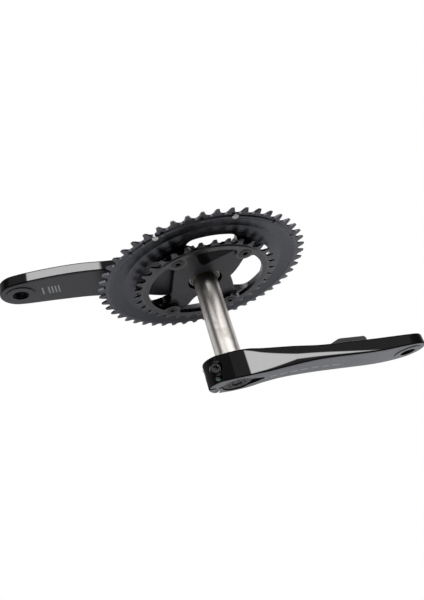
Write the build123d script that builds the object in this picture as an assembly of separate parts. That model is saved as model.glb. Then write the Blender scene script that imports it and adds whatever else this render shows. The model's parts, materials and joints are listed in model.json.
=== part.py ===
from build123d import *
import math
import os

os.makedirs("parts", exist_ok=True)

# Bicycle crankset, millimetres. The origin is on the spindle's axis at the bicycle's centre plane.
# +Y runs along the spindle to the left arm, +X from the axis to the right arm's pedal end, +Z is up.

# ---- overall sizes ----
crank_length = 172.5
pedal_face_y = 73.5
pedal_boss_length = 12.5
pedal_boss_radius = 12.8
pedal_hole_radius = 7.14
arm_tip_radius = 18.0
arm_edge_radius = 1.5

# The arms' faces and half heights are drawn for one arm length and pedal face, from a root that stays as it is.
drawn_length = 172.5
drawn_face_y = 73.5
arm_root_end = 46.0
right_inner_drawn = [(8, 52.0), (30, 53.6), (50, 55.6), (75, 56.9), (90, 58.3), (110, 60.6), (130, 61.7),
                     (150, 62.0), (176, 61.7)]
right_outer_drawn = [(8, 65.4), (30, 65.8), (60, 66.8), (90, 69.0), (110, 71.6), (130, 72.7), (150, 73.0),
                     (176, 72.8)]
left_inner_drawn = [(-30, 41.4), (-8, 41.2), (10, 41.2), (25, 42.6), (40, 44.6), (60, 48.2), (80, 52.4),
                    (100, 54.7), (120, 56.7), (140, 58.9), (160, 60.9), (176, 61.7)]
left_outer_drawn = [(-30, 65.8), (-10, 66.6), (10, 66.9), (40, 65.9), (60, 65.9), (80, 66.8), (100, 68.6),
                    (120, 70.6), (140, 72.2), (160, 72.8), (176, 72.8)]
right_heights_drawn = [(160, 20.0), (130, 22.4), (100, 23.8), (78, 26.0), (62, 29.8), (48, 34.6), (34, 37.6),
                       (20, 36.0), (8, 30.0)]
left_heights_drawn = [(160, 19.4), (140, 18.6), (110, 17.6), (80, 17.4), (60, 16.0), (42, 14.6), (24, 15.4),
                      (4, 17.6)]
arm_wall = 3.2
cavity_start = 40.0
cavity_end = crank_length - 22.5
cavity_half_height = 9.0

# ---- spindle ----
spindle_radius = 12.0
spindle_bore_radius = spindle_radius - 2.25
spindle_root_radius = spindle_radius + 0.6
spindle_seat_radius = spindle_radius + 0.3
spindle_left_end = 61.5
journal_end_y = 41.0
spline_start_y = 43.2
spline_land_radius = spindle_radius - 0.4
spline_depth = 0.6
spline_count = 24
spline_width = spindle_radius / 8
spline_side_gap = 0.1
spline_tip_gap = 0.12
spline_end_inset = 0.9
running_gap = 0.06

# ---- spider, hub and bearing seat ----
bolt_circle_radius = 55.0
drawn_circle_radius = 55.0
bolt_angles = (54.5, 125.5, 234.5, 305.5)
spider_face_y = -43.5
spider_end_thickness = 3.5
spider_back_y = -58.0
spider_end_radius = 9.6
hub_back_y = -66.5
web_front_x = 33.0
seat_face_y = -46.0
seat_sleeve_radius = spindle_seat_radius + 2.1
seat_rim_radius = seat_sleeve_radius + 1.2
hub_pocket_radius = seat_rim_radius + 1.8
hub_radius = hub_pocket_radius + 7.1
seat_rim_thickness = 1.4

# ---- chainrings ----
chain_pitch = 12.7
roller_seat_radius = 3.97
tooth_thickness = 2.1
tooth_height_over_pitch = 2.7
large_teeth = 50
large_plane_y = -48.5
large_inner_radius = 68.6
lug_root_half_width = 23.0
large_rim_radius = 92.5
large_hub_thickness = 7.5
web_back_y = large_plane_y - 3.1
shell_inner_radius = 74.5
shell_depth = 4.6
shell_wall = 1.5
lift_pin_radius = 2.3
lift_pin_angles = (57.0, 99.6)
shift_pin_radius = 1.3
shift_pin_angles = (40.0, 49.5, 61.0, 82.3, 126.0, 147.0)
pin_circle_radius = 95.2
stop_pin_radius = 2.0
stop_pin_circle_radius = 94.0
stop_pin_end_y = large_plane_y - 8.5
small_teeth = 34
small_plane_y = -41.0
small_inner_radius = 57.5
small_ridge_radius = 64.0
small_face_y = -39.0
bolt_radius = 4.0
bolt_head_radius = 6.2
bolt_head_thickness = 2.2
bolt_head_proud = 0.5
bolt_thread_length = 6.0
bolt_socket_radius = 2.7
bolt_hole_gap = 0.15

# ---- left arm clamp ----
clamp_bolt_radius = 3.0
clamp_bolt_head_radius = 4.75
clamp_bolt_head_length = 4.6
clamp_bolt_length = 20.0
clamp_bolt_socket_radius = 2.9
clamp_bolt_x = spindle_radius + 6.0
clamp_bolt_inner_y = 52.0
clamp_bolt_outer_y = 61.6
clamp_seat_z = 7.6
clamp_end_wall = 8.2
clamp_seat_radius = clamp_bolt_head_radius + 0.75
clamp_washer_thickness = 1.0
clamp_slot_width = 3.0
clamp_hole_gap = 0.3

# ---- stopper plate ----
stopper_thickness = 2.0
stopper_pin_y = 46.9
stopper_pin_radius = 0.95
stopper_hole_gap = 0.3
stopper_hole_extra = 1.5
stopper_release_angle = 10.0

# ---- preload cap ----
cap_radius = spindle_radius + 1.6
cap_flange_thickness = 2.4
cap_recess_radius = cap_radius + 0.6
cap_thread_length = 6.5
cap_notches = 8

# ---- sensor pod on the left arm ----
pod_end = crank_length - 40.5
pod_start = pod_end - 38.0
pod_height = 6.8
pod_base_start = pod_start - 7.5
pod_base_end = pod_end + 5.0
pod_base_thickness = 1.4
pod_wall = 1.3
cell_radius = 6.25
cell_thickness = 2.0
cell_gap = 0.1
pod_half_width = cell_radius + 4.25
pod_base_half_width = pod_half_width - 0.9
door_offset = 4.5
door_radius = cell_radius + 1.95
door_thickness = 1.3
door_ledge = 0.9
door_rim = 1.0
light_radius = 1.1
board_thickness = 0.8


# ---- small shapes that many pieces share ----
def along_x(sketch, low, high):
    """A solid from a sketch drawn as (y, z), between two places on X."""
    return extrude(Plane.YZ.offset(low) * sketch, high - low, dir=(1, 0, 0))


def along_y(sketch, low, high):
    """A solid from a sketch drawn as (x, z), between two places on Y."""
    return extrude(Plane.XZ.offset(-high) * sketch, high - low, dir=(0, -1, 0))


def along_z(sketch, low, high):
    """A solid from a sketch drawn as (x, y), between two places on Z."""
    return extrude(Plane.XY.offset(low) * sketch, high - low, dir=(0, 0, 1))


def rod_y(radius, low, high, x=0.0, z=0.0):
    return along_y(Pos(x, z) * Circle(radius), low, high)


def rod_z(radius, low, high, x, y):
    return along_z(Pos(x, y) * Circle(radius), low, high)


def ring_y(outer, inner, low, high, x=0.0, z=0.0):
    return rod_y(outer, low, high, x, z) - rod_y(inner, low - 1, high + 1, x, z)


def block(x_low, x_high, y_low, y_high, z_low, z_high):
    centre = Pos((x_low + x_high) / 2, (y_low + y_high) / 2, (z_low + z_high) / 2)
    return centre * Box(x_high - x_low, y_high - y_low, z_high - z_low)


def turned(*points):
    """A ring turned about the spindle from (radius, y) corners."""
    return revolve(Polygon(*points, align=None), Axis.Y)


def on_circle(radius, angle):
    return radius * math.cos(math.radians(angle)), radius * math.sin(math.radians(angle))


def pitch_radius(teeth):
    return chain_pitch / 2 / math.sin(math.pi / teeth)


def bolt_centres():
    return [on_circle(bolt_circle_radius, angle) for angle in bolt_angles]


def export(name, *solids):
    piece = solids[0] if len(solids) == 1 else Compound(children=list(solids))
    export_step(piece, f"parts/{name}.step")


def hex_socket(radius, low, high, x, y):
    return along_z(Pos(x, y) * RegularPolygon(radius, 6), low, high)


# ---- arms ----
def at_length(points):
    """Points along an arm's face, stretched to the arm's length and leaning out to its pedal face."""
    stretch = (crank_length - arm_root_end) / (drawn_length - arm_root_end)
    moved = []
    for x, y in points:
        share = max(0, x - arm_root_end) / (drawn_length - arm_root_end)
        moved.append((min(x, arm_root_end) + max(0, x - arm_root_end) * stretch,
                      y + (pedal_face_y - drawn_face_y) * share))
    return moved


def heights_at_length(points):
    """Half heights along an arm, stretched to its length, behind the place where the round tip starts."""
    stretch = (crank_length - arm_root_end) / (drawn_length - arm_root_end)
    return [tip_join()] + [(min(x, arm_root_end) + max(0, x - arm_root_end) * stretch, z) for x, z in points]


def arm_blank(inner, outer, half_heights, root):
    """An arm along +X with Y outwards: its thickness profile crossed with its side view."""
    tip_end = crank_length + arm_tip_radius + 4
    inner_line = Spline(*inner)
    outer_line = Spline(*outer)
    top_view = make_face(
        inner_line
        + Line(inner[-1], (tip_end, inner[-1][1]))
        + Line((tip_end, inner[-1][1]), (tip_end, outer[-1][1]))
        + Line((tip_end, outer[-1][1]), outer[-1])
        + outer_line
        + Line(outer[0], inner[0])
    )
    slab = along_z(top_view, -60, 60)
    start_x, start_z = half_heights[0]
    steep = math.atan2(start_z, start_x - crank_length)
    upper = Spline(*half_heights, tangents=[(-math.sin(steep), math.cos(steep)), root[0]])
    lower = mirror(upper, Plane.XZ)
    nose = ThreePointArc((start_x, start_z), (crank_length + arm_tip_radius, 0), (start_x, -start_z))
    side_view = make_face(upper + lower + nose + root[1])
    return slab & along_y(side_view, -120, 120)


def tip_join(angle=76.0):
    """Where the arm's straight flank meets the round tip."""
    x, z = on_circle(arm_tip_radius, angle)
    return crank_length + x, z


def right_arm_body():
    heights = heights_at_length(right_heights_drawn)
    end_x, end_z = heights[-1]
    root = ((-0.9, -0.5), Line((end_x, end_z), (end_x, -end_z)))
    blank = arm_blank(at_length(right_inner_drawn), at_length(right_outer_drawn), heights, root)
    long_edges = blank.edges().filter_by(lambda e: e.center().X > 45 and e.length > 12)
    shaped = fillet(long_edges, arm_edge_radius)
    return mirror(shaped, Plane.XZ)


def left_arm_body():
    heights = heights_at_length(left_heights_drawn)
    end_x, end_z = heights[-1]
    nose_x, nose_z = 1.5 - clamp_bolt_x, end_z - 1.6
    clamp_end = ThreePointArc((nose_x, nose_z), (-clamp_bolt_x - clamp_end_wall, 0), (nose_x, -nose_z))
    upper_end = Line((end_x - 8, end_z), (nose_x, nose_z))
    lower_end = Line((end_x - 8, -end_z), (nose_x, -nose_z))
    top_land = Line((end_x, end_z), (end_x - 8, end_z))
    bottom_land = Line((end_x, -end_z), (end_x - 8, -end_z))
    root = ((-1, 0), clamp_end + upper_end + lower_end + top_land + bottom_land)
    blank = arm_blank(at_length(left_inner_drawn), at_length(left_outer_drawn), heights, root)
    shaped = fillet(blank.edges().filter_by(lambda e: e.length > 9 and abs(e.center().Z) < 30), arm_edge_radius)
    return mirror(shaped, Plane.YZ)


def pedal_boss(side):
    """The round boss that the pedal screws into; side is 1 for the left arm and -1 for the right."""
    x = -side * crank_length
    near = pedal_face_y - pedal_boss_length
    low, high = sorted((side * near, side * pedal_face_y))
    return rod_y(pedal_boss_radius, low, high, x)


def pedal_hole(side):
    return rod_y(pedal_hole_radius, -120, 120, -side * crank_length)


def arm_cavity(side):
    """The hollow that the forging has between the pedal end and the clamp or hub."""
    faces = (left_inner_drawn, left_outer_drawn) if side > 0 else (right_inner_drawn, right_outer_drawn)
    inner, outer = at_length(faces[0]), at_length(faces[1])
    near = [(x, y + arm_wall) for x, y in inner if cavity_start <= x <= cavity_end]
    far = [(x, y - arm_wall) for x, y in outer if cavity_start <= x <= cavity_end]
    top_view = Polygon(*near, *reversed(far), align=None)
    hollow = along_z(top_view, -cavity_half_height, cavity_half_height)
    return mirror(hollow, Plane.YZ if side > 0 else Plane.XZ)


# ---- right arm and spider ----
def spider_outline():
    """The hub, four tapered arms and the web that joins the two front arms to the crank arm."""
    outline = Circle(hub_radius)
    lug = spider_end_radius
    reach = bolt_circle_radius / drawn_circle_radius
    for angle in bolt_angles[1:3]:
        edge = Spline((12, 21), (26 * reach, 18.6), (36 * reach, 14.8), (45 * reach, 11.0),
                      (bolt_circle_radius, lug - 0.6))
        arm = make_face(edge + mirror(edge, Plane.XZ) + Line((12, 21), (12, -21))
                        + Line((bolt_circle_radius, lug - 0.6), (bolt_circle_radius, 0.6 - lug)))
        outline += Rot(0, 0, angle) * arm
    front_x, front_z = bolt_centres()[0]
    edge = Spline((-2, hub_radius - 1), (5, hub_radius + 4.4), (10.4 * reach, 37.4 * reach),
                  (13.6 * reach, 45.4 * reach), (19.4 * reach, 50.6 * reach), (front_x - 5.4, front_z + 6.4))
    nose = Polyline((front_x - 5.4, front_z + 6.4), (front_x, front_z + lug - 0.2), (front_x + 5, front_z),
                    (web_front_x, front_z - 14), (web_front_x, 0))
    half = edge + nose + Polyline((web_front_x, 0), (-2, 0), (-2, hub_radius - 1))
    outline += make_face(half) + mirror(make_face(half), Plane.XZ)
    for x, z in bolt_centres():
        outline += Pos(x, z) * Circle(lug)
    return outline


def spider_body():
    plate = along_y(spider_outline(), spider_back_y, spider_face_y)
    end_back = spider_face_y - spider_end_thickness
    relief_inner = bolt_circle_radius - spider_end_radius - 0.5
    relief = ring_y(90, relief_inner, spider_back_y - 1, end_back)
    hub = rod_y(hub_radius, hub_back_y, spider_face_y - 2)
    return plate - relief + hub


def ring_room():
    """Room beside the spider's ends for the large ring's bosses."""
    boss_face = spider_face_y - spider_end_thickness
    inner = bolt_circle_radius - spider_end_radius - 0.5
    return ring_y(90, inner, boss_face - large_hub_thickness - 0.5, boss_face)


def right_arm():
    body = right_arm_body() + pedal_boss(-1) + spider_body() - arm_cavity(-1) - ring_room()
    body -= rod_y(hub_pocket_radius, spider_back_y, spider_face_y + 1)
    body -= rod_y(spindle_root_radius, hub_back_y - 1, spider_back_y + 1)
    body -= pedal_hole(-1)
    for x, z in bolt_centres():
        body -= rod_y(bolt_radius + bolt_hole_gap, -90, 0, x, z)
    return body


# ---- spindle, bearing seat ----
def splines(radius, depth, width, low, high):
    """Straight keys round a shaft: the teeth of the arm's bore, or the grooves of the spindle's end."""
    keys = Sketch()
    for i in range(spline_count):
        key = Pos(radius - depth / 2, 0) * Rectangle(depth, width)
        keys += Rot(0, 0, i * 360 / spline_count) * key
    return along_y(keys, low, high)


def spline_floor_radius():
    return spline_land_radius - spline_depth


def spindle():
    """A hollow shaft, stepped down from its pressed root to its journal and its splined end."""
    outside = turned((0, hub_back_y), (spindle_root_radius, hub_back_y), (spindle_root_radius, spider_back_y),
                     (spindle_seat_radius, spider_back_y), (spindle_seat_radius, seat_face_y),
                     (spindle_radius, seat_face_y), (spindle_radius, journal_end_y),
                     (spline_land_radius, journal_end_y), (spline_land_radius, spindle_left_end - 0.8),
                     (spline_land_radius - 0.8, spindle_left_end), (0, spindle_left_end))
    body = outside - rod_y(spindle_bore_radius, -120, 120)
    groove_depth = spline_land_radius - spline_floor_radius() + 1
    body -= splines(spline_land_radius + 1, groove_depth, spline_width, spline_start_y, spindle_left_end + 5)
    width = 2 * (stopper_pin_radius + stopper_hole_gap)
    hole = Pos(stopper_pin_y - stopper_hole_extra / 2, 0) * SlotOverall(width + stopper_hole_extra, width)
    body -= along_x(hole, spindle_bore_radius - 2, spindle_radius + 4)
    return body


def bearing_sleeve():
    return ring_y(seat_sleeve_radius, spindle_seat_radius, spider_back_y, seat_face_y - seat_rim_thickness)


def bearing_ring():
    ring = ring_y(seat_rim_radius, spindle_seat_radius, seat_face_y - seat_rim_thickness, seat_face_y)
    rims = ring.edges().filter_by(GeomType.CIRCLE).filter_by(lambda e: e.radius > spindle_seat_radius + 1)
    return fillet(rims, 0.4)


def hub_plug():
    cup = rod_y(spindle_bore_radius - 0.05, hub_back_y + 0.5, hub_back_y + 5)
    return cup - rod_y(spindle_bore_radius - 1.8, hub_back_y + 2, hub_back_y + 6)


# ---- chainrings ----
def tooth_gaps(teeth, low, high):
    """The spaces that the chain's rollers sit in, between the teeth."""
    seat = pitch_radius(teeth)
    tip = seat + tooth_height_over_pitch
    opening = 0.4 * chain_pitch
    gap = Pos(seat, 0) * Circle(roller_seat_radius)
    gap += Polygon((seat - 0.6, -roller_seat_radius + 0.05), (tip + 1, -opening - 0.6), (tip + 1, opening + 0.6),
                   (seat - 0.6, roller_seat_radius - 0.05), align=None)
    gaps = [Rot(0, 0, i * 360 / teeth) * gap for i in range(teeth)]
    return along_y(Sketch() + gaps, low, high)


def window_sketch(inner_radius, lug_radius, root_half_width, corner):
    """What is open inside a ring: the disc within it, less a lug that narrows towards each bolt."""
    lugs = Sketch()
    for angle in bolt_angles:
        lug = Pos(bolt_circle_radius, 0) * Circle(lug_radius)
        lug += Polygon((bolt_circle_radius, -lug_radius), (inner_radius + 4, -root_half_width),
                       (inner_radius + 4, root_half_width), (bolt_circle_radius, lug_radius), align=None)
        lugs += Rot(0, 0, angle) * lug
    windows = Circle(inner_radius) - lugs
    at_rim = windows.vertices().filter_by(lambda v: math.hypot(v.X, v.Y) > inner_radius - 0.5)
    return fillet(at_rim.filter_by(lambda v: abs(v.Y) > 1), corner)


def large_chainring():
    """The toothed ring with its dished web and four threaded bosses."""
    tip = pitch_radius(large_teeth) + tooth_height_over_pitch
    root = pitch_radius(large_teeth) - roller_seat_radius
    front = large_plane_y + tooth_thickness / 2
    back = large_plane_y - tooth_thickness / 2
    boss_face = spider_face_y - spider_end_thickness
    boss_back = boss_face - large_hub_thickness
    boss_inner = bolt_circle_radius - spider_end_radius + 0.4
    dish = [(boss_inner, boss_face), (62, boss_face), (70, boss_face - 1.5), (80, boss_face - 2.2),
            (large_rim_radius - 1.2, large_plane_y + 1.4), (large_rim_radius, large_plane_y + 2.0),
            (root - 2.2, large_plane_y + 2.0), (root - 1.2, front), (tip - 3.4, front),
            (tip, large_plane_y + 0.45), (tip, large_plane_y - 0.45), (tip - 3.4, back),
            (large_rim_radius + 1, back), (large_rim_radius - 2, web_back_y),
            (shell_inner_radius, web_back_y), (shell_inner_radius - 2, boss_back), (boss_inner, boss_back)]
    body = turned(*dish)
    body -= tooth_gaps(large_teeth, large_plane_y - 6, large_plane_y + 6)
    windows = window_sketch(large_inner_radius, spider_end_radius - 0.4, lug_root_half_width, 9.5)
    body -= along_y(windows, boss_back - 1, boss_face + 1)
    for x, z in bolt_centres():
        body -= rod_y(bolt_radius, boss_face - bolt_thread_length - 0.3, boss_face + 1, x, z)
    for x, z in lift_pin_places() + shift_pin_places():
        radius = lift_pin_radius if (x, z) in lift_pin_places() else shift_pin_radius
        body -= rod_y(radius, large_plane_y - 8, large_plane_y + 8, x, z)
    return body - stop_pin()


def chainring_shell():
    """The formed outer cover that closes the hollow behind the large ring's web."""
    inner = shell_inner_radius
    outer = large_rim_radius - 2
    crown = web_back_y - shell_depth
    return turned((outer, web_back_y), (outer - 2.5, crown + 2.0), (outer - 6.5, crown + 0.2), (inner + 4.5, crown),
                  (inner + 0.5, crown + 1.6), (inner, web_back_y), (inner + shell_wall, web_back_y),
                  (inner + shell_wall + 0.3, crown + 2.9), (inner + 5.0, crown + shell_wall),
                  (outer - 6.9, crown + shell_wall + 0.2), (outer - 3.8, crown + 3.2), (outer - 2.4, web_back_y))


def lift_pin_places():
    return [on_circle(pin_circle_radius, angle) for angle in lift_pin_angles]


def shift_pin_places():
    return [on_circle(pin_circle_radius - 0.6, angle) for angle in shift_pin_angles]


def rivet(radius, head_radius, x, z):
    """A pin riveted through the rim, with a low head on the small ring's side."""
    rim_face = large_plane_y + tooth_thickness / 2 + 0.95
    shank = rod_y(radius, large_plane_y - tooth_thickness / 2, rim_face, x, z)
    head = rod_y(head_radius, rim_face, rim_face + 0.8, x, z)
    return shank + chamfer(head.edges().group_by(Axis.Y)[-1], 0.3)


def small_chainring():
    tip = pitch_radius(small_teeth) + tooth_height_over_pitch
    root = pitch_radius(small_teeth) - roller_seat_radius
    front = small_plane_y + tooth_thickness / 2
    back = small_plane_y - tooth_thickness / 2
    lug_inner = bolt_circle_radius - spider_end_radius - 0.2
    section = [(lug_inner, spider_face_y), (lug_inner, small_face_y - 0.3),
               (small_inner_radius + 2, small_face_y - 0.3),
               (small_inner_radius + 3.4, small_face_y), (small_ridge_radius - 0.6, small_face_y),
               (small_ridge_radius, small_face_y - 0.5), (root - 0.5, front), (tip - 3.4, front),
               (tip, small_plane_y + 0.45), (tip, small_plane_y - 0.45), (tip - 3.4, back),
               (small_ridge_radius, back), (small_ridge_radius - 1.4, spider_face_y)]
    body = turned(*section)
    body -= tooth_gaps(small_teeth, small_plane_y - 6, small_plane_y + 6)
    windows = window_sketch(small_inner_radius, spider_end_radius - 0.6, lug_root_half_width - 2, 3.0)
    body -= along_y(windows, spider_face_y - 1, small_face_y + 1)
    for x, z in bolt_centres():
        body -= rod_y(bolt_radius + bolt_hole_gap, -90, 0, x, z)
        body -= rod_y(bolt_head_radius + bolt_hole_gap, bolt_head_back_y(), 0, x, z)
    return body


def bolt_head_back_y():
    return small_face_y - 0.3 + bolt_head_proud - bolt_head_thickness


def chainring_bolt(x, z):
    """A low headed bolt from the inner side, through the small ring and spider into the large ring."""
    back = bolt_head_back_y()
    head = rod_y(bolt_head_radius, back, back + bolt_head_thickness, x, z)
    head = chamfer(head.edges().group_by(Axis.Y)[-1], 0.5)
    end = spider_face_y - spider_end_thickness - bolt_thread_length
    shank = rod_y(bolt_radius, end, back, x, z)
    socket = along_y(Pos(x, z) * RegularPolygon(bolt_socket_radius, 6), back - 1.2, back + 5)
    return head + shank - socket


def stop_pin():
    """The peg on the large ring's outer side, beside the right arm, pressed into the rim."""
    return rod_y(stop_pin_radius, stop_pin_end_y, large_plane_y - 0.4, stop_pin_circle_radius)


# ---- left arm and its clamp ----
def clamp_bolt_places():
    """Each pinch bolt's y, and which way its head faces: the two go in from opposite sides."""
    return ((clamp_bolt_inner_y, 1), (clamp_bolt_outer_y, -1))


def upright(side, solid):
    """A bolt's piece drawn with its head up, turned over for the bolt that goes in from below."""
    return solid if side > 0 else mirror(solid, Plane.XY)


def cap_seat_y():
    return spindle_left_end + 2.0


def left_arm():
    body = left_arm_body() + pedal_boss(1) - arm_cavity(1) - pedal_hole(1)
    body -= rod_y(spindle_radius + running_gap, 0, 120)
    key_tip = spline_floor_radius() + spline_tip_gap
    key_root = spindle_radius + running_gap + 0.5
    body += splines(key_root, key_root - key_tip, spline_width - 2 * spline_side_gap, spline_start_y + 0.4,
                    spindle_left_end - spline_end_inset)
    body -= block(0, 60, 0, 120, -clamp_slot_width / 2, clamp_slot_width / 2)
    for y, side in clamp_bolt_places():
        seat = rod_z(clamp_seat_radius, clamp_seat_z, 40, clamp_bolt_x, y)
        clear = rod_z(clamp_bolt_radius + clamp_hole_gap, 0, 40, clamp_bolt_x, y)
        thread = rod_z(clamp_bolt_radius, -40, 0, clamp_bolt_x, y)
        body -= upright(side, seat + clear + thread)
    recess = Circle(cap_recess_radius) + Polygon((0, cap_recess_radius - 0.4), (-26, 1.6), (-26, -1.6),
                                                 (0, 0.4 - cap_recess_radius), align=None)
    body -= along_y(recess, cap_seat_y(), 120)
    return body


def pinch_bolt(y, side):
    top = clamp_seat_z + clamp_washer_thickness
    head = rod_z(clamp_bolt_head_radius, top, top + clamp_bolt_head_length, clamp_bolt_x, y)
    head = chamfer(head.edges().group_by(Axis.Z)[-1], 0.5)
    shank = rod_z(clamp_bolt_radius, top - clamp_bolt_length, top, clamp_bolt_x, y)
    shank = chamfer(shank.edges().group_by(Axis.Z)[0], 0.6)
    socket = hex_socket(clamp_bolt_socket_radius, top + 1.8, top + 9, clamp_bolt_x, y)
    return upright(side, head + shank - socket)


def pinch_washer(y, side):
    disc = rod_z(clamp_bolt_head_radius + 0.35, clamp_seat_z, clamp_seat_z + clamp_washer_thickness, clamp_bolt_x, y)
    hole = rod_z(clamp_bolt_radius + 0.2, clamp_seat_z - 1, clamp_seat_z + 3, clamp_bolt_x, y)
    return upright(side, disc - hole)


def stopper_plate():
    """The safety plate in the clamp's slot: an eye round the outer bolt and a finger with a pin.

    Pushed in, its pin enters the spindle. It is drawn that way and then swung out to its released place.
    """
    pivot = (clamp_bolt_x, clamp_bolt_outer_y)
    finger_x = spindle_radius + 1.2
    back_x = clamp_bolt_x + 6.4
    beside_bolt = clamp_bolt_x + clamp_bolt_radius + 0.8
    plate = Pos(*pivot) * Circle(4.6)
    plate += Polygon((clamp_bolt_x + 3.6, clamp_bolt_outer_y + 2), (back_x, clamp_bolt_outer_y - 4),
                     (back_x, stopper_pin_y - 1.6), (finger_x, stopper_pin_y - 1.6), (finger_x, stopper_pin_y + 1.6),
                     (beside_bolt, stopper_pin_y + 1.9), (beside_bolt, clamp_bolt_outer_y - 4),
                     (clamp_bolt_x, clamp_bolt_outer_y - 4.4), align=None)
    plate -= Pos(*pivot) * Circle(clamp_bolt_radius + clamp_hole_gap)
    solid = along_z(plate, -stopper_thickness / 2, stopper_thickness / 2)
    pin = Pos(stopper_pin_y, 0) * Circle(stopper_pin_radius)
    solid += along_x(pin, spindle_bore_radius + 0.4, finger_x + 1)
    return solid.rotate(Axis((*pivot, 0), (0, 0, 1)), stopper_release_angle)


def preload_cap():
    """The notched cap that screws into the spindle's left end and pushes the arm in."""
    seat = cap_seat_y()
    flange = rod_y(cap_radius, seat, seat + cap_flange_thickness)
    flange = chamfer(flange.edges().group_by(Axis.Y)[-1], 0.5)
    thread = rod_y(spindle_bore_radius - running_gap, spindle_left_end - cap_thread_length, seat)
    notches = Sketch()
    for i in range(cap_notches):
        notches += Rot(0, 0, i * 360 / cap_notches) * Pos(7.6, 0) * Rectangle(1.9, 2.4)
    hollow = rod_y(6.4, seat - 20, seat - 0.8) + rod_y(5.2, seat + 1.4, seat + 9)
    return flange + thread - hollow - along_y(notches, seat + 0.9, seat + 9)


# ---- sensor pod ----
def pod_middle():
    return (pod_start + pod_end) / 2


def inner_face_at(x):
    """The left arm's inner face at a distance along the arm, between two of its drawn points."""
    face = at_length(left_inner_drawn)
    below = max(point for point in face if point[0] <= x)
    above = min(point for point in face if point[0] > x)
    return below[1] + (above[1] - below[1]) * (x - below[0]) / (above[0] - below[0])


def on_left_arm(solid):
    """Pod pieces are drawn with x along the arm and y into it, then laid on the arm's leaning inner face."""
    rise = inner_face_at(pod_base_end) - inner_face_at(pod_base_start)
    lean = math.degrees(math.atan2(rise, pod_base_end - pod_base_start))
    return mirror(Pos(pod_middle(), inner_face_at(pod_middle()), 0) * Rot(0, 0, lean) * solid, Plane.YZ)


def pod_profile(inset):
    """The pod's side outline, ramped towards the spindle and steep towards the pedal."""
    half = (pod_end - pod_start) / 2 - inset
    top = inset - pod_height
    floor = -pod_base_thickness
    return Polygon((-half, floor), (-half + 1.6, floor - 1.4), (-half + 9.0, top + 0.5), (-half + 11.5, top),
                   (half - 2.6, top), (half - 1.0, top + 1.2), (half, floor), align=None)


def pod_slab(sketch, half_width):
    return along_z(sketch, -half_width, half_width)


def pod_disc(radius, low, high, x=None, z=0.0):
    return rod_y(radius, low, high, door_offset if x is None else x, z)


def sensor_base(arm):
    """The thin moulded foot bonded to the arm, open where the gauges are."""
    start, end = pod_base_start - pod_middle(), pod_base_end - pod_middle()
    foot = block(start, end, -pod_base_thickness, 1.0, -pod_base_half_width, pod_base_half_width)
    foot = fillet(foot.edges().filter_by(Axis.Y), 4.0)
    foot -= block(-8, 8, -5, 5, -5, 5)
    return on_left_arm(foot) - arm


def gauge_places():
    return ((-3.4, 0.0), (3.4, 0.0))


def strain_gauges(arm):
    return [on_left_arm(block(x - 2.4, x + 2.4, -0.25, 1.0, z - 3.2, z + 3.2)) - arm
            for x, z in gauge_places()]


def sensor_cover():
    outside = pod_slab(pod_profile(0), pod_half_width)
    outside = fillet(outside.edges().filter_by(lambda e: e.center().Y < -pod_base_thickness - 0.5), 1.0)
    inside = pod_slab(pod_profile(pod_wall), pod_half_width - pod_wall)
    collar = pod_disc(door_radius + door_rim, -pod_height + 0.1, -pod_height + door_thickness + 1.2)
    cover = outside - inside + collar
    cover -= pod_disc(door_radius + running_gap, -pod_height - 1, -pod_height + door_thickness)
    cover -= pod_disc(door_radius - door_ledge, -pod_height - 1, -1.5)
    cover -= pod_disc(light_radius, -pod_height - 1, -pod_height + 3, *light_place())
    return on_left_arm(cover)


def light_place():
    return door_offset - door_radius - 1.2, pod_half_width - 3.0


def status_light():
    return on_left_arm(pod_disc(light_radius, -pod_height + 0.05, -pod_height + 1.9, *light_place()))


def battery_door():
    """A round twist door with a coin slot."""
    disc = pod_disc(door_radius, -pod_height - 0.15, -pod_height + door_thickness - 0.5)
    disc = chamfer(disc.edges().group_by(Axis.Y)[0], 0.3)
    slot = Pos(door_offset, 0) * SlotOverall(door_radius * 1.2, 1.8)
    return on_left_arm(disc - along_y(slot, -pod_height - 1, -pod_height + 0.35))


def door_seal():
    ring = pod_disc(door_radius - 0.1, -pod_height + door_thickness - 0.5, -pod_height + door_thickness)
    return on_left_arm(ring - pod_disc(door_radius - door_ledge, -20, 20))


def coin_cell():
    top = -pod_height + door_thickness + cell_gap
    return on_left_arm(pod_disc(cell_radius, top, top + cell_thickness))


def board_face():
    return -pod_base_thickness - cell_gap - board_thickness


def sensor_board():
    half = (pod_end - pod_start) / 2 - pod_wall - 2.6
    side = pod_half_width - pod_wall - 0.8
    return on_left_arm(block(-half, half, board_face(), -pod_base_thickness - cell_gap, -side, side))


def cell_contact():
    """The sprung strip that presses on the cell from the board."""
    cell_back = -pod_height + door_thickness + cell_gap + cell_thickness
    face = board_face()
    strip = Polygon((-4, face), (-4, face - 0.3), (-1.6, cell_back), (1.6, cell_back), (4, face - 0.3), (4, face),
                    (3.6, face), (1.4, cell_back + 0.3), (-1.4, cell_back + 0.3), (-3.6, face), align=None)
    return on_left_arm(Pos(door_offset, 0, 0) * pod_slab(strip, 1.6))


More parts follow.
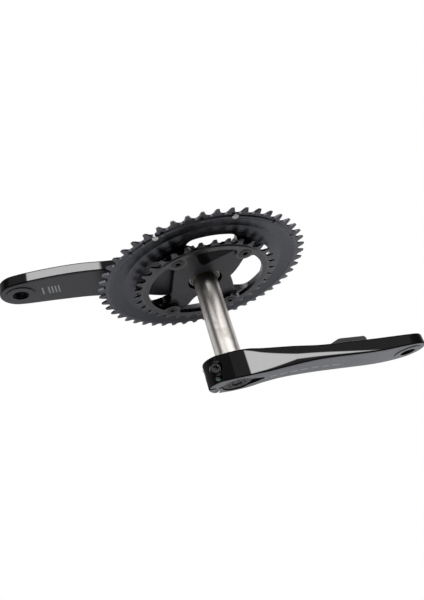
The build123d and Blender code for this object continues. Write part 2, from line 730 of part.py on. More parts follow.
# ---- build and write every piece ----
arm = left_arm()
export("left_arm", arm)
export("right_arm", right_arm())
export("spindle", spindle())
export("bearing_sleeve", bearing_sleeve())
export("bearing_ring", bearing_ring())
export("hub_plug", hub_plug())
export("large_chainring", large_chainring())
export("chainring_shell", chainring_shell())
export("lift_pins", *[rivet(lift_pin_radius, lift_pin_radius + 0.5, x, z) for x, z in lift_pin_places()])
export("shift_pins", *[rivet(shift_pin_radius, shift_pin_radius + 0.4, x, z) for x, z in shift_pin_places()])
export("chain_stop_pin", stop_pin())
export("small_chainring", small_chainring())
export("chainring_bolts", *[chainring_bolt(x, z) for x, z in bolt_centres()])
export("pinch_bolts", *[pinch_bolt(y, side) for y, side in clamp_bolt_places()])
export("pinch_washers", *[pinch_washer(y, side) for y, side in clamp_bolt_places()])
export("stopper_plate", stopper_plate())
export("preload_cap", preload_cap())
export("sensor_base", sensor_base(arm))
export("strain_gauges", *strain_gauges(arm))
export("sensor_cover", sensor_cover())
export("status_light", status_light())
export("battery_door", battery_door())
export("door_seal", door_seal())
export("coin_cell", coin_cell())
export("sensor_board", sensor_board())
export("cell_contact", cell_contact())
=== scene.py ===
import json
import math
import bpy
from mathutils import Matrix, Vector

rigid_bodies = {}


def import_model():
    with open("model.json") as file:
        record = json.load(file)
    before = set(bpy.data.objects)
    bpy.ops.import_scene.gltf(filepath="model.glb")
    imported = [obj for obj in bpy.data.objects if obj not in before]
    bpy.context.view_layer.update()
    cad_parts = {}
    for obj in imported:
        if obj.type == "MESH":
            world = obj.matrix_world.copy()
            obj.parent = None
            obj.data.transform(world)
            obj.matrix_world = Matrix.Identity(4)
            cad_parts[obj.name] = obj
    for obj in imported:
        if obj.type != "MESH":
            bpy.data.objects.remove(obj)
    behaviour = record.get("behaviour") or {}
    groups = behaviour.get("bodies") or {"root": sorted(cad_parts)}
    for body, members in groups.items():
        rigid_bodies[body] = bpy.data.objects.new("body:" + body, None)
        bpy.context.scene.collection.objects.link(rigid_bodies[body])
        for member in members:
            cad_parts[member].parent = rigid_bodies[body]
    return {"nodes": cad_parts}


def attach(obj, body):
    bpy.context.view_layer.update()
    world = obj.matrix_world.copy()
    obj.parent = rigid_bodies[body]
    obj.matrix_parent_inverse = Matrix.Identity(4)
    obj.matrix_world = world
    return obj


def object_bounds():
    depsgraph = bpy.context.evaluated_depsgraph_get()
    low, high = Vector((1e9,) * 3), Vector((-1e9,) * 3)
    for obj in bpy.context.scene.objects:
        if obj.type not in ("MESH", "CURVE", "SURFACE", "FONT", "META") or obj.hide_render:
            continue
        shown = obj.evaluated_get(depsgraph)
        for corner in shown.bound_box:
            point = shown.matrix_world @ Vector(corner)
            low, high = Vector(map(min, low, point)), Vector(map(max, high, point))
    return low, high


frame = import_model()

cad_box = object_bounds()


# ---- studio ----
# A table-top set: the crankset stands on a wide pale floor in a white room.
# The camera looks down on it from the left arm's side, above the pedal end of the right arm.
def deselect_all():
    for thing in bpy.context.view_layer.objects:
        thing.select_set(False)


camera_place = Vector((0.11194, 0.18771, 0.41534))
camera_right = Vector((-0.956, 0.267, 0.125))
camera_down = Vector((0.177, 0.859, -0.479))
camera_back = -camera_right.cross(camera_down).normalized()
camera_up = camera_back.cross(camera_right.normalized()).normalized()
camera_side = camera_up.cross(camera_back)
lens = bpy.data.cameras.new("studio_lens")
lens.lens = 29.585
lens.sensor_width = 36.0
lens.clip_start = 0.01
camera = bpy.data.objects.new("studio_camera", lens)
bpy.context.scene.collection.objects.link(camera)
camera.matrix_world = Matrix.Translation(camera_place) @ Matrix(
    (camera_side, camera_up, camera_back)).transposed().to_4x4()
bpy.context.scene.camera = camera
bpy.context.scene.view_settings.view_transform = "Standard"


def node(tree, kind, inputs=None, **settings):
    """Adds a shader node: its settings by name, and its inputs as a value or a socket to link."""
    made = tree.nodes.new("ShaderNode" + kind)
    for name, value in settings.items():
        setattr(made, name, value)
    for name, value in (inputs or {}).items():
        if isinstance(value, bpy.types.NodeSocket):
            tree.links.new(value, made.inputs[name])
        else:
            made.inputs[name].default_value = value
    return made


floor_white = bpy.data.materials.new("floor_white")
floor_white.use_nodes = True
tree = floor_white.node_tree
tree.nodes["Principled BSDF"].inputs["Base Color"].default_value = (0.85, 0.85, 0.86, 1)
tree.nodes["Principled BSDF"].inputs["Roughness"].default_value = 0.9
tree.nodes["Principled BSDF"].inputs["Specular IOR Level"].default_value = 0.0
seen = node(tree, "LightPath")
glow = node(tree, "Emission", {"Color": (1, 1, 1, 1), "Strength": 1.0})
painted = tree.nodes["Principled BSDF"]
mixed = node(tree, "MixShader", {0: seen.outputs["Is Camera Ray"], 1: painted.outputs[0], 2: glow.outputs[0]})
tree.links.new(mixed.outputs[0], tree.nodes["Material Output"].inputs["Surface"])
deselect_all()
bpy.ops.mesh.primitive_circle_add(vertices=96, radius=6.0, fill_type="NGON",
                                  location=(0, 0, cad_box[0][2] - 0.0005))
studio_floor = bpy.context.object
studio_floor.name = "studio_floor"
studio_floor.data.materials.append(floor_white)

room = bpy.data.worlds.new("white_room")
room.use_nodes = True
bpy.context.scene.world = room
tree = room.node_tree
tree.nodes.clear()
seen = node(tree, "LightPath")
room_dim = node(tree, "Background", {"Color": (0.9, 0.95, 1.0, 1), "Strength": 0.035})
room_soft = node(tree, "Background", {"Color": (1, 1, 1, 1), "Strength": 0.55})
room_white = node(tree, "Background", {"Color": (1, 1, 1, 1), "Strength": 1.0})
lit = node(tree, "MixShader", {0: seen.outputs["Is Glossy Ray"], 1: room_soft.outputs[0],
                               2: room_dim.outputs[0]})
shown = node(tree, "MixShader", {0: seen.outputs["Is Camera Ray"], 1: lit.outputs[0],
                                 2: room_white.outputs[0]})
output = node(tree, "OutputWorld")
tree.links.new(shown.outputs[0], output.inputs["Surface"])


def softbox(name, place, target, width, height, radiance, tint=(1, 1, 1)):
    """A rectangular soft light that faces a point and looks equally bright at any size."""
    light = bpy.data.lights.new(name, "AREA")
    light.shape = "RECTANGLE"
    light.size = width
    light.size_y = height
    light.energy = radiance * math.pi * width * height
    light.color = tint
    thing = bpy.data.objects.new(name, light)
    bpy.context.scene.collection.objects.link(thing)
    back = (Vector(place) - Vector(target)).normalized()
    side = (Vector((1, 0, 0)) - back * back.x).normalized()
    thing.matrix_world = Matrix.Translation(Vector(place)) @ Matrix(
        (side, back.cross(side), back)).transposed().to_4x4()


softbox("box_right_arm", (0.400, -0.81, 1.19), (0.12, -0.06, 0.02), 0.46, 0.50, 2.8)
softbox("box_left_arm", (-0.680, -0.34, 1.19), (-0.04, 0.05, 0.01), 1.15, 0.46, 3.0)
softbox("box_overhead", (0.0, -0.56, 1.20), (0.0, 0.0, 0.0), 0.36, 0.34, 2.6)
softbox("box_side", (1.00, -0.66, 1.10), (0.0, 0.0, 0.0), 0.80, 0.7, 2.4)
softbox("box_front", (0.2, 1.6, 0.8), (0.0, 0.0, 0.0), 1.2, 0.7, 0.35)


# ---- spindle ----
# A hollow steel shaft, ground on its journal, splined at the left and pressed into the right arm's hub.
# It is turned and ground, so fine rings run round it, and handling has left faint warm smears.
def effect(name, inputs, outputs):
    """Starts a node group: its named inputs with their values, and its named outputs."""
    group = bpy.data.node_groups.new(name, "ShaderNodeTree")
    for label, kind, value in inputs:
        group.interface.new_socket(label, in_out="INPUT", socket_type=kind).default_value = value
    for label, kind in outputs:
        group.interface.new_socket(label, in_out="OUTPUT", socket_type=kind)
    return group, group.nodes.new("NodeGroupInput").outputs, group.nodes.new("NodeGroupOutput").inputs


def math_node(tree, operation, first, second=0.0, clamp=False):
    return node(tree, "Math", {0: first, 1: second}, operation=operation, use_clamp=clamp).outputs[0]


def object_place(tree):
    """The shaded point's own X, Y and Z, as three sockets."""
    return node(tree, "SeparateXYZ", {0: node(tree, "TexCoord").outputs["Object"]}).outputs


def axis_distance(tree, place):
    """How far the shaded point is from the spindle's axis."""
    beside = node(tree, "CombineXYZ", {0: place[0], 1: place[2]}).outputs[0]
    return node(tree, "VectorMath", {0: beside}, operation="LENGTH").outputs["Value"]


turned_marks, given, result = effect(
    "turned_marks",
    [("Rings", "NodeSocketFloat", 2600.0), ("Depth", "NodeSocketFloat", 0.00001)],
    [("Marks", "NodeSocketFloat"), ("Normal", "NodeSocketVector")])
place = node(turned_marks, "TexCoord").outputs["Object"]
parts = node(turned_marks, "SeparateXYZ", {0: place}).outputs
across = node(turned_marks, "CombineXYZ", {0: axis_distance(turned_marks, parts), 1: parts[1]}).outputs[0]
fine = node(turned_marks, "TexNoise", {"Vector": across, "Scale": given["Rings"], "Detail": 3.0,
                                       "Roughness": 0.7}).outputs[0]
wander = node(turned_marks, "TexNoise", {"Vector": place, "Scale": 60.0, "Detail": 2.0}).outputs[0]
centred = math_node(turned_marks, "SUBTRACT", fine, 0.5)
patchy = math_node(turned_marks, "ADD", wander, 0.5)
marks = math_node(turned_marks, "ADD", math_node(turned_marks, "MULTIPLY", centred, patchy), 0.5)
turned_marks.links.new(marks, result["Marks"])
bumped = node(turned_marks, "Bump", {"Height": marks, "Distance": given["Depth"], "Strength": 1.0}).outputs[0]
turned_marks.links.new(bumped, result["Normal"])

fine_grain, given, result = effect(
    "fine_grain",
    [("Grains", "NodeSocketFloat", 3500.0), ("Clouds", "NodeSocketFloat", 45.0),
     ("Depth", "NodeSocketFloat", 0.00001)],
    [("Grain", "NodeSocketFloat"), ("Cloud", "NodeSocketFloat"), ("Normal", "NodeSocketVector")])
place = node(fine_grain, "TexCoord").outputs["Object"]
grain = node(fine_grain, "TexNoise", {"Vector": place, "Scale": given["Grains"], "Detail": 2.0}).outputs[0]
cloud = node(fine_grain, "TexNoise", {"Vector": place, "Scale": given["Clouds"], "Detail": 4.0,
                                      "Roughness": 0.6}).outputs[0]
bumped = node(fine_grain, "Bump", {"Height": grain, "Distance": given["Depth"], "Strength": 1.0}).outputs[0]
fine_grain.links.new(grain, result["Grain"])
fine_grain.links.new(cloud, result["Cloud"])
fine_grain.links.new(bumped, result["Normal"])

# Lightens edges: partly wear, partly a painted highlight standing in for the light a rounded edge would
# catch.
edge_wear_and_highlight, given, result = effect(
    "edge_wear_and_highlight",
    [("Width", "NodeSocketFloat", 0.0005), ("Patches", "NodeSocketFloat", 180.0)],
    [("Edge", "NodeSocketFloat")])
rounded = node(edge_wear_and_highlight, "Bevel", {"Radius": given["Width"]}, samples=6).outputs[0]
flat = node(edge_wear_and_highlight, "NewGeometry").outputs["Normal"]
along = node(edge_wear_and_highlight, "VectorMath", {0: rounded, 1: flat}, operation="DOT_PRODUCT").outputs["Value"]
edge = node(edge_wear_and_highlight, "MapRange", {"Value": along, "From Min": 0.995, "From Max": 0.86, "To Min": 0.0,
                                    "To Max": 1.0}).outputs[0]
patchy = node(edge_wear_and_highlight, "TexNoise", {"Vector": node(edge_wear_and_highlight, "TexCoord").outputs["Object"],
                                      "Scale": given["Patches"], "Detail": 4.0}).outputs[0]
patchy = node(edge_wear_and_highlight, "MapRange", {"Value": patchy, "From Min": 0.35, "From Max": 0.65, "To Min": 0.35,
                                      "To Max": 1.0}).outputs[0]
edge_wear_and_highlight.links.new(math_node(edge_wear_and_highlight, "MULTIPLY", edge, patchy, clamp=True), result["Edge"])

scuffs, given, result = effect(
    "scuffs",
    [("Scratches", "NodeSocketFloat", 90.0), ("Amount", "NodeSocketFloat", 0.5)],
    [("Scuff", "NodeSocketFloat")])
place = node(scuffs, "TexCoord").outputs["Object"]
bent = node(scuffs, "TexNoise", {"Vector": place, "Scale": 25.0, "Detail": 1.0}).outputs["Color"]
bent = node(scuffs, "VectorMath", {0: bent, 1: (0.02, 0.02, 0.02)}, operation="MULTIPLY").outputs[0]
bent = node(scuffs, "VectorMath", {0: place, 1: bent}, operation="ADD").outputs[0]
stretched = node(scuffs, "Mapping", {"Vector": bent, "Rotation": (0.4, 0.2, 0.7), "Scale": (1.0, 14.0, 9.0)})
lines = node(scuffs, "TexNoise", {"Vector": stretched.outputs[0], "Scale": given["Scratches"], "Detail": 2.0,
                                  "Roughness": 0.8}).outputs[0]
thin = node(scuffs, "MapRange", {"Value": lines, "From Min": 0.66, "From Max": 0.74}).outputs[0]
scuffs.links.new(math_node(scuffs, "MULTIPLY", thin, given["Amount"], clamp=True), result["Scuff"])


def use(tree, group, **values):
    """Places an effect in a material with its own values, and returns its outputs."""
    made = tree.nodes.new("ShaderNodeGroup")
    made.node_tree = group
    for name, value in values.items():
        made.inputs[name].default_value = value
    return made.outputs


def material(name, **plain):
    """A new material with plain numbers or colours on its shader's own sockets."""
    made = bpy.data.materials.new(name)
    made.use_nodes = True
    surface = made.node_tree.nodes["Principled BSDF"]
    for label, value in plain.items():
        surface.inputs[label.replace("_", " ")].default_value = value
    return made, made.node_tree, surface.inputs


def tint_mix(tree, mask, first, second):
    """A colour that goes from the first to the second as the mask goes from 0 to 1."""
    return node(tree, "Mix", {0: mask, 6: first, 7: second}, data_type="RGBA").outputs[2]


def value_mix(tree, mask, first, second):
    return node(tree, "MapRange", {"Value": mask, "To Min": first, "To Max": second}).outputs[0]


def between(tree, value, low, high):
    """0 below low, 1 above high and even between."""
    return node(tree, "MapRange", {"Value": value, "From Min": low, "From Max": high}).outputs[0]


def product(tree, *factors):
    """All the masks multiplied together."""
    whole = factors[0]
    for factor in factors[1:]:
        whole = math_node(tree, "MULTIPLY", whole, factor)
    return whole


def grained(name, dark, light, smoothest, roughest, metallic=1.0, grains=2400.0, clouds=400.0, depth=0.00001):
    """A plain finish whose fine grain, tint and shine all vary a little."""
    made, tree, shader = material(name, Metallic=metallic)
    grain = use(tree, fine_grain, Grains=grains, Clouds=clouds, Depth=depth)
    tree.links.new(tint_mix(tree, grain["Cloud"], dark, light), shader["Base Color"])
    tree.links.new(value_mix(tree, grain["Cloud"], smoothest, roughest), shader["Roughness"])
    tree.links.new(grain["Normal"], shader["Normal"])
    return made


def dress(finish, *names):
    for name in names:
        for material_slot in frame["nodes"][name].material_slots:
            material_slot.material = finish


ground_steel, tree, shader = material("ground_steel", Metallic=1.0, Anisotropic=0.35)
rings = use(tree, turned_marks, Rings=2400.0, Depth=0.000012)
grain = use(tree, fine_grain, Clouds=70.0)
place = object_place(tree)
# Painted shade: the steel's colour is darkened towards the hub, where the hub shades it.
hub_painted_shade = between(tree, place[1], -0.036, -0.046)
smear = between(tree, grain["Cloud"], 0.50, 0.68)
steel = tint_mix(tree, rings["Marks"], (0.66, 0.62, 0.585, 1), (0.86, 0.82, 0.78, 1))
steel = tint_mix(tree, math_node(tree, "MULTIPLY", smear, 0.4), steel, (0.34, 0.29, 0.25, 1))
steel = tint_mix(tree, math_node(tree, "MULTIPLY", hub_painted_shade, 0.5), steel, (0.12, 0.115, 0.09, 1))
tree.links.new(steel, shader["Base Color"])
tree.links.new(value_mix(tree, grain["Cloud"], 0.34, 0.46), shader["Roughness"])
tree.links.new(rings["Normal"], shader["Normal"])
dress(ground_steel, "spindle")


# ---- bearing seat and hub plug ----
# A turned ring for the bearing to sit on, with a pale rim and its face painted dark as painted shade, and a
# dark moulded sleeve behind it.
# The plug closes the spindle's right end. All three are pressed into place.
pale_ring, tree, shader = material("pale_ring", Metallic=0.9)
rings = use(tree, turned_marks, Rings=3000.0, Depth=0.00001)
place = object_place(tree)
# Painted shade: all of the ring inside its outer rim is painted dark.
rim_beside_painted_shade = between(tree, axis_distance(tree, place), 0.0146, 0.0150)
metal = tint_mix(tree, rings["Marks"], (0.46, 0.45, 0.42, 1), (0.66, 0.65, 0.61, 1))
metal = tint_mix(tree, rim_beside_painted_shade, (0.085, 0.08, 0.068, 1), metal)
tree.links.new(metal, shader["Base Color"])
tree.links.new(value_mix(tree, rings["Marks"], 0.2, 0.4), shader["Roughness"])
tree.links.new(rings["Normal"], shader["Normal"])
dress(pale_ring, "bearing_ring")

moulded_black, tree, shader = material("moulded_black", Metallic=0.0)
grain = use(tree, fine_grain, Grains=2600.0, Clouds=90.0, Depth=0.00002)
edge = use(tree, edge_wear_and_highlight, Width=0.0003)
black = tint_mix(tree, grain["Cloud"], (0.012, 0.012, 0.013, 1), (0.026, 0.026, 0.028, 1))
# Edges lightened, partly wear and partly painted highlight.
black = tint_mix(tree, math_node(tree, "MULTIPLY", edge["Edge"], 0.35), black, (0.09, 0.09, 0.095, 1))
tree.links.new(black, shader["Base Color"])
tree.links.new(value_mix(tree, grain["Cloud"], 0.38, 0.55), shader["Roughness"])
tree.links.new(grain["Normal"], shader["Normal"])
dress(moulded_black, "bearing_sleeve", "hub_plug")


# ---- right arm and spider ----
# One hollow aluminium forging, hard anodised black: its narrow sides are polished to a gloss
# and its broad faces are left satin. The four-arm spider is satin all over.
def anodised_arm(name, satin, marks, polish):
    """The arm's two finishes: gloss where the narrow faces are polished, satin on the rest."""
    made, tree, shader = material(name, Metallic=0.0, IOR=1.5, Coat_IOR=2.3, Coat_Roughness=0.04)
    facing = node(tree, "TexCoord").outputs["Normal"]
    facing = node(tree, "SeparateXYZ", {0: facing}).outputs
    place = object_place(tree)
    broad = between(tree, math_node(tree, "ABSOLUTE", facing[1]), 0.72, 0.80)
    grain = use(tree, fine_grain, Grains=3800.0, Clouds=38.0, Depth=0.000006)
    edge = use(tree, edge_wear_and_highlight, Width=0.0005)
    scuffed = use(tree, scuffs, Scratches=70.0, Amount=0.5)
    dark, light = satin
    face = tint_mix(tree, grain["Cloud"], dark, light)
    face = tint_mix(tree, math_node(tree, "MULTIPLY", scuffed["Scuff"], 0.35), face, (0.11, 0.11, 0.12, 1))
    printed = marks(tree, place, facing)
    face = tint_mix(tree, printed, face, (0.42, 0.43, 0.46, 1))
    colour = tint_mix(tree, broad, (0.004, 0.004, 0.0045, 1), face)
    # Edges lightened, partly wear and partly painted highlight.
    wear_and_highlight = math_node(tree, "MULTIPLY", edge["Edge"], 0.22)
    colour = tint_mix(tree, wear_and_highlight, colour, (0.05, 0.05, 0.052, 1))
    tree.links.new(colour, shader["Base Color"])
    satin_rough = value_mix(tree, grain["Cloud"], 0.34, 0.46)
    rough = node(tree, "MapRange", {"Value": broad, "To Min": 0.3, "To Max": satin_rough}).outputs[0]
    tree.links.new(rough, shader["Roughness"])
    narrow = math_node(tree, "SUBTRACT", 1.0, broad)
    polished = value_mix(tree, polish(tree, place), 0.015, 1.0)
    tree.links.new(math_node(tree, "MULTIPLY", narrow, polished), shader["Coat Weight"])
    tree.links.new(value_mix(tree, broad, 0.04, 0.5), shader["Specular IOR Level"])
    tree.links.new(grain["Normal"], shader["Normal"])
    return made


def print_box(tree, place, low_x, high_x, low_z, high_z):
    """A mask for one plain printed bar, in the arm's own X and Z."""
    masks = [math_node(tree, "GREATER_THAN", place[0], low_x), math_node(tree, "LESS_THAN", place[0], high_x),
             math_node(tree, "GREATER_THAN", place[2], low_z), math_node(tree, "LESS_THAN", place[2], high_z)]
    return product(tree, *masks)


def right_marks(tree, place, facing):
    """Five short upright bars on the inner face, where a real arm has its small print."""
    bar_width = 0.0013
    half_height = 0.006
    bars = [print_box(tree, place, low_x, low_x + bar_width, -half_height, half_height)
            for low_x in (0.1375, 0.1405, 0.1435, 0.1465, 0.1520)]
    mask = bars[0]
    for bar in bars[1:]:
        mask = math_node(tree, "MAXIMUM", mask, bar)
    inner = math_node(tree, "GREATER_THAN", facing[1], 0.8)
    return product(tree, mask, inner, 0.6)


def right_polish(tree, place):
    """The arm's narrow sides are polished from the chainrings' edge to the pedal boss."""
    past_rings = between(tree, place[0], 0.0965, 0.0995)
    before_boss = between(tree, place[0], 0.1640, 0.1625)
    return math_node(tree, "MULTIPLY", past_rings, before_boss)


right_finish = anodised_arm("right_arm_anodised", ((0.012, 0.0125, 0.0165, 1), (0.021, 0.0215, 0.0275, 1)),
                            right_marks, right_polish)
dress(right_finish, "right_arm")


# ---- pedal threads ----
# Each arm's pedal end is tapped right through, twenty threads to the inch.
# The ridge is one triangle swept along a helix and sunk a little into the bored wall.
thread_pitch = 0.00127
thread_reach = 0.00045
thread_length = 0.0125
pedal_hole_radius = 0.00714
pedal_hole_x = 0.1725
pedal_hole_y = 0.06725
ridge_share_of_pitch = 0.42
ridge_root_depth = 0.0001
steps_per_turn = 40


def screw_thread(name, centre, body, finish):
    """A helical ridge on a pedal hole's wall, about an axis along Y, from one end to the other."""
    deselect_all()
    half = thread_pitch * ridge_share_of_pitch
    bpy.ops.mesh.primitive_circle_add(vertices=3, radius=half, fill_type="NGON",
                                      location=(0, 0, 0), rotation=(math.pi / 2, 0, 0))
    ridge = bpy.context.object
    ridge.name = name
    bpy.ops.object.transform_apply(location=False, rotation=True, scale=True)
    corners = sorted(ridge.data.vertices, key=lambda corner: corner.co.z)
    wall = pedal_hole_radius + ridge_root_depth
    corners[0].co = (wall, 0, -half)
    corners[1].co = (wall - thread_reach - ridge_root_depth, 0, 0)
    corners[2].co = (wall, 0, half)
    turns = math.floor((thread_length - thread_pitch) / thread_pitch)
    screw = ridge.modifiers.new("helix", "SCREW")
    screw.angle = turns * 2 * math.pi
    screw.screw_offset = turns * thread_pitch
    screw.iterations = 1
    screw.steps = steps_per_turn * turns
    screw.render_steps = steps_per_turn * turns
    bpy.ops.object.modifier_apply(modifier="helix")
    bpy.ops.object.mode_set(mode="EDIT")
    bpy.ops.mesh.select_all(action="SELECT")
    bpy.ops.mesh.fill_holes(sides=3)
    bpy.ops.mesh.normals_make_consistent(inside=False)
    bpy.ops.object.mode_set(mode="OBJECT")
    ridge.location.z = -turns * thread_pitch / 2
    bpy.ops.object.transform_apply(location=True, rotation=False, scale=False)
    ridge.rotation_euler.x = -math.pi / 2
    ridge.location = centre
    bpy.ops.object.transform_apply(location=True, rotation=True, scale=True)
    bpy.ops.object.shade_smooth_by_angle(angle=math.radians(30))
    ridge.data.materials.append(finish)
    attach(ridge, body)


bare_thread, tree, shader = material("bare_thread", Metallic=1.0)
grain = use(tree, fine_grain, Grains=2200.0, Clouds=300.0, Depth=0.00001)
tree.links.new(tint_mix(tree, grain["Cloud"], (0.015, 0.015, 0.016, 1), (0.04, 0.04, 0.042, 1)),
               shader["Base Color"])
tree.links.new(value_mix(tree, grain["Grain"], 0.28, 0.45), shader["Roughness"])
tree.links.new(grain["Normal"], shader["Normal"])
screw_thread("pedal_thread_right", (pedal_hole_x, -pedal_hole_y, 0), "drive_side", bare_thread)
screw_thread("pedal_thread_left", (-pedal_hole_x, pedal_hole_y, 0), "left_side", bare_thread)


# ---- large chainring ----
# A machined aluminium ring, hard anodised graphite. The dish is lathe turned, so it shows fine rings
# and a soft sweep of light, and the chain has begun to brighten the teeth's edges.
graphite, tree, shader = material("graphite_anodised", Metallic=1.0, Anisotropic=0.3)
rings = use(tree, turned_marks, Rings=2200.0, Depth=0.000008)
grain = use(tree, fine_grain, Clouds=32.0)
edge = use(tree, edge_wear_and_highlight, Width=0.00035)
place = object_place(tree)
teeth = between(tree, axis_distance(tree, place), 0.0955, 0.1005)
ring_tint = tint_mix(tree, rings["Marks"], (0.070, 0.071, 0.080, 1), (0.115, 0.117, 0.131, 1))
ring_tint = tint_mix(tree, between(tree, grain["Cloud"], 0.4, 0.7), ring_tint, (0.085, 0.088, 0.102, 1))
ring_tint = tint_mix(tree, math_node(tree, "MULTIPLY", teeth, 0.35), ring_tint, (0.16, 0.16, 0.17, 1))
# Every edge is lightened as well, partly wear and partly painted highlight.
ring_tint = tint_mix(tree, math_node(tree, "MULTIPLY", edge["Edge"], 0.5), ring_tint, (0.34, 0.34, 0.35, 1))
tree.links.new(ring_tint, shader["Base Color"])
tree.links.new(value_mix(tree, grain["Cloud"], 0.26, 0.36), shader["Roughness"])
tree.links.new(rings["Normal"], shader["Normal"])
dress(graphite, "large_chainring")


# ---- chainring shell ----
# A thin formed cover bonded over the ring's outer side. It is pressed from sheet and painted satin black,
# so its curve is smooth, with a slight orange peel.
shell_paint, tree, shader = material("shell_paint", Metallic=0.0, Coat_Roughness=0.08, Coat_IOR=1.6)
grain = use(tree, fine_grain, Grains=900.0, Clouds=30.0, Depth=0.00001)
edge = use(tree, edge_wear_and_highlight, Width=0.0004)
scuffed = use(tree, scuffs, Scratches=60.0, Amount=0.7)
paint = tint_mix(tree, grain["Cloud"], (0.010, 0.010, 0.012, 1), (0.020, 0.020, 0.024, 1))
# Edges lightened, partly wear and partly painted highlight.
paint = tint_mix(tree, math_node(tree, "MULTIPLY", edge["Edge"], 0.3), paint, (0.10, 0.10, 0.11, 1))
paint = tint_mix(tree, math_node(tree, "MULTIPLY", scuffed["Scuff"], 0.4), paint, (0.08, 0.08, 0.085, 1))
tree.links.new(paint, shader["Base Color"])
tree.links.new(value_mix(tree, grain["Cloud"], 0.28, 0.42), shader["Roughness"])
tree.links.new(value_mix(tree, grain["Cloud"], 0.5, 0.8), shader["Coat Weight"])
tree.links.new(grain["Normal"], shader["Normal"])
dress(shell_paint, "chainring_shell")


# ---- lift, shift and stop pins ----
# Small stainless pins riveted through the large ring's rim, which catch the chain as it climbs.
# The longer peg beside the arm keeps a dropped chain out.
pin_steel = grained("pin_steel", (0.50, 0.50, 0.49, 1), (0.72, 0.71, 0.69, 1), 0.2, 0.42)
dress(pin_steel, "lift_pins", "chain_stop_pin")
dull_pin = grained("dull_pin", (0.10, 0.10, 0.105, 1), (0.19, 0.19, 0.2, 1), 0.3, 0.5)
dress(dull_pin, "shift_pins")


# ---- small chainring and its bolts ----
# A flat machined ring in the same anodising, a little paler. Four low black bolts go in
# from this side, through the spider, into the large ring.
small_graphite, tree, shader = material("small_ring_anodised", Metallic=1.0, Anisotropic=0.3)
rings = use(tree, turned_marks, Rings=1900.0, Depth=0.00001)
grain = use(tree, fine_grain, Clouds=60.0)
edge = use(tree, edge_wear_and_highlight, Width=0.0004)
ring_tint = tint_mix(tree, rings["Marks"], (0.065, 0.065, 0.070, 1), (0.125, 0.125, 0.133, 1))
# Edges lightened, partly wear and partly painted highlight.
ring_tint = tint_mix(tree, math_node(tree, "MULTIPLY", edge["Edge"], 0.5), ring_tint, (0.33, 0.33, 0.34, 1))
tree.links.new(ring_tint, shader["Base Color"])
tree.links.new(value_mix(tree, grain["Cloud"], 0.2, 0.34), shader["Roughness"])
tree.links.new(rings["Normal"], shader["Normal"])
dress(small_graphite, "small_chainring")

black_bolt, tree, shader = material("black_bolt", Metallic=0.85)
grain = use(tree, fine_grain, Grains=2600.0, Clouds=250.0, Depth=0.00001)
edge = use(tree, edge_wear_and_highlight, Width=0.00025)
bolt_tint = tint_mix(tree, grain["Cloud"], (0.030, 0.029, 0.028, 1), (0.065, 0.063, 0.060, 1))
# Edges lightened, partly wear and partly painted highlight.
bolt_tint = tint_mix(tree, math_node(tree, "MULTIPLY", edge["Edge"], 0.6), bolt_tint, (0.30, 0.29, 0.28, 1))
tree.links.new(bolt_tint, shader["Base Color"])
tree.links.new(value_mix(tree, grain["Cloud"], 0.26, 0.42), shader["Roughness"])
tree.links.new(grain["Normal"], shader["Normal"])
dress(black_bolt, "chainring_bolts")


# ---- left arm ----
# The second forging, in the same gloss and satin anodising, split behind the spindle for its clamp.
# Its outer satin face is painted a shade paler than the right arm's inner one, as painted light on the one
# anodising.
def sloped(tree, along, start, slope):
    """A straight line's height at a distance along the arm."""
    return math_node(tree, "ADD", math_node(tree, "MULTIPLY", along, slope), start)


def left_polish(tree, place):
    """A polished facet on the narrow sides: as wide as the arm at the clamp, and fading to a line."""
    along = math_node(tree, "MULTIPLY", place[0], -1.0)
    inner_near = sloped(tree, along, 0.0402, 0.278)
    inner_far = sloped(tree, along, 0.0457, 0.183)
    inner = math_node(tree, "MINIMUM", inner_near, inner_far)
    outer_near = sloped(tree, along, 0.0668, -0.106)
    outer_far = sloped(tree, along, 0.0541, 0.121)
    outer = math_node(tree, "MAXIMUM", outer_near, outer_far)
    past_inner = between(tree, math_node(tree, "SUBTRACT", place[1], inner), -0.0003, 0.0005)
    past_outer = between(tree, math_node(tree, "SUBTRACT", outer, place[1]), -0.0003, 0.0005)
    past_clamp = between(tree, along, 0.0095, 0.0105)
    return product(tree, past_inner, past_outer, past_clamp)


def left_marks(tree, place, facing):
    """A thin broken pin stripe along the outer face, leaning with the arm."""
    lean = math_node(tree, "SUBTRACT", place[2], sloped(tree, place[0], -0.0008, 0.029))
    thin = math_node(tree, "LESS_THAN", math_node(tree, "ABSOLUTE", lean), 0.0011)
    past_start = math_node(tree, "GREATER_THAN", place[0], -0.106)
    before_end = math_node(tree, "LESS_THAN", place[0], -0.027)
    dashes = math_node(tree, "FRACT", math_node(tree, "MULTIPLY", place[0], 95.0))
    dash = math_node(tree, "GREATER_THAN", dashes, 0.3)
    outer = math_node(tree, "GREATER_THAN", facing[1], 0.8)
    return product(tree, thin, past_start, before_end, dash, outer, 0.8)


# Painted light: this satin colour is paler than the right arm's, though both arms share one anodising.
left_finish_painted_paler = anodised_arm("left_arm_anodised", ((0.120, 0.124, 0.140, 1), (0.170, 0.176, 0.196, 1)),
                           left_marks, left_polish)
dress(left_finish_painted_paler, "left_arm")


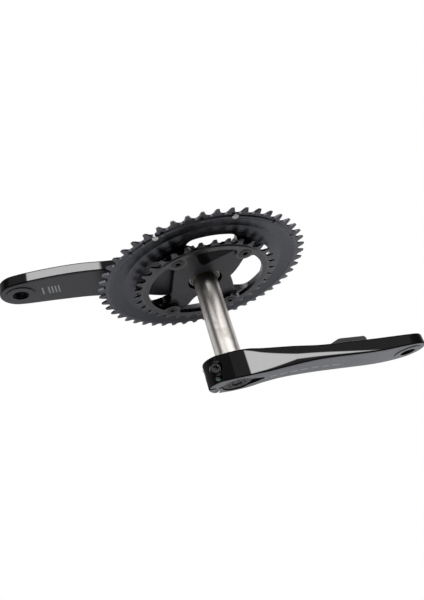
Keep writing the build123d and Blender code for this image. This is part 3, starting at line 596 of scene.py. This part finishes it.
# ---- pinch bolts and washers ----
# Two steel cap screws close the split clamp, put in from opposite sides, each on a thin washer.
# The outer one's end shows green thread-locking compound.
pinch_black, tree, shader = material("pinch_bolt_black", Metallic=0.8)
grain = use(tree, fine_grain, Grains=2600.0, Clouds=260.0, Depth=0.00001)
edge = use(tree, edge_wear_and_highlight, Width=0.00025)
place = object_place(tree)
tail = math_node(tree, "MULTIPLY", math_node(tree, "GREATER_THAN", place[1], 0.0575),
                 math_node(tree, "GREATER_THAN", place[2], 0.004))
locked = math_node(tree, "MULTIPLY", tail, between(tree, grain["Cloud"], 0.38, 0.62))
bolt_tint = tint_mix(tree, grain["Cloud"], (0.008, 0.008, 0.008, 1), (0.022, 0.022, 0.022, 1))
# Edges lightened, partly wear and partly painted highlight.
bolt_tint = tint_mix(tree, math_node(tree, "MULTIPLY", edge["Edge"], 0.65), bolt_tint, (0.36, 0.36, 0.36, 1))
bolt_tint = tint_mix(tree, locked, bolt_tint, (0.035, 0.06, 0.042, 1))
tree.links.new(bolt_tint, shader["Base Color"])
tree.links.new(value_mix(tree, grain["Cloud"], 0.2, 0.38), shader["Roughness"])
tree.links.new(grain["Normal"], shader["Normal"])
dress(pinch_black, "pinch_bolts")

washer_steel = grained("washer_steel", (0.24, 0.24, 0.235, 1), (0.42, 0.42, 0.41, 1), 0.22, 0.4,
                       grains=2600.0, clouds=260.0)
dress(washer_steel, "pinch_washers")


# ---- stopper plate ----
# A stamped steel safety plate in the clamp's slot. Its pin drops into a hole in the spindle,
# so that the arm can't come off while it is pushed in.
dress(washer_steel, "stopper_plate")


# ---- preload cap ----
# A moulded plastic cap screwed into the spindle's end, notched for a small star key.
dress(moulded_black, "preload_cap")


# ---- sensor pod ----
# A sealed torque sensor bonded to the left arm's inner face: a moulded foot and cover, a twist door
# over a coin cell, a seal under the door, and a small light.
pod_plastic, tree, shader = material("pod_plastic", Metallic=0.0)
grain = use(tree, fine_grain, Grains=1900.0, Clouds=60.0, Depth=0.00003)
edge = use(tree, edge_wear_and_highlight, Width=0.0004)
plastic = tint_mix(tree, grain["Cloud"], (0.020, 0.020, 0.021, 1), (0.034, 0.034, 0.036, 1))
# Edges lightened, partly wear and partly painted highlight.
plastic = tint_mix(tree, math_node(tree, "MULTIPLY", edge["Edge"], 0.3), plastic, (0.10, 0.10, 0.10, 1))
tree.links.new(plastic, shader["Base Color"])
tree.links.new(value_mix(tree, grain["Grain"], 0.45, 0.62), shader["Roughness"])
tree.links.new(grain["Normal"], shader["Normal"])
dress(pod_plastic, "sensor_base", "sensor_cover", "battery_door")

lens_clear, tree, shader = material("lens_clear", Transmission_Weight=0.35, Roughness=0.25)
grain = use(tree, fine_grain, Clouds=300.0)
clear = tint_mix(tree, grain["Cloud"], (0.55, 0.60, 0.62, 1), (0.72, 0.76, 0.78, 1))
tree.links.new(clear, shader["Base Color"])
dress(lens_clear, "status_light")

seal_rubber = grained("seal_rubber", (0.012, 0.012, 0.012, 1), (0.03, 0.03, 0.03, 1), 0.6, 0.8,
                      metallic=0.0, grains=1500.0, clouds=300.0, depth=0.00002)
dress(seal_rubber, "door_seal")

board_green, tree, shader = material("board_green")
grain = use(tree, fine_grain, Grains=900.0, Clouds=500.0)
copper = between(tree, grain["Cloud"], 0.45, 0.55)
lacquer = tint_mix(tree, copper, (0.01, 0.10, 0.045, 1), (0.02, 0.17, 0.07, 1))
tree.links.new(lacquer, shader["Base Color"])
tree.links.new(value_mix(tree, grain["Grain"], 0.25, 0.4), shader["Roughness"])
dress(board_green, "sensor_board")

gauge_film, tree, shader = material("gauge_film")
grain = use(tree, fine_grain, Clouds=500.0)
amber = tint_mix(tree, grain["Cloud"], (0.35, 0.16, 0.04, 1), (0.5, 0.25, 0.07, 1))
tree.links.new(amber, shader["Base Color"])
tree.links.new(value_mix(tree, grain["Cloud"], 0.3, 0.5), shader["Roughness"])
dress(gauge_film, "strain_gauges")
dress(pin_steel, "coin_cell", "cell_contact")
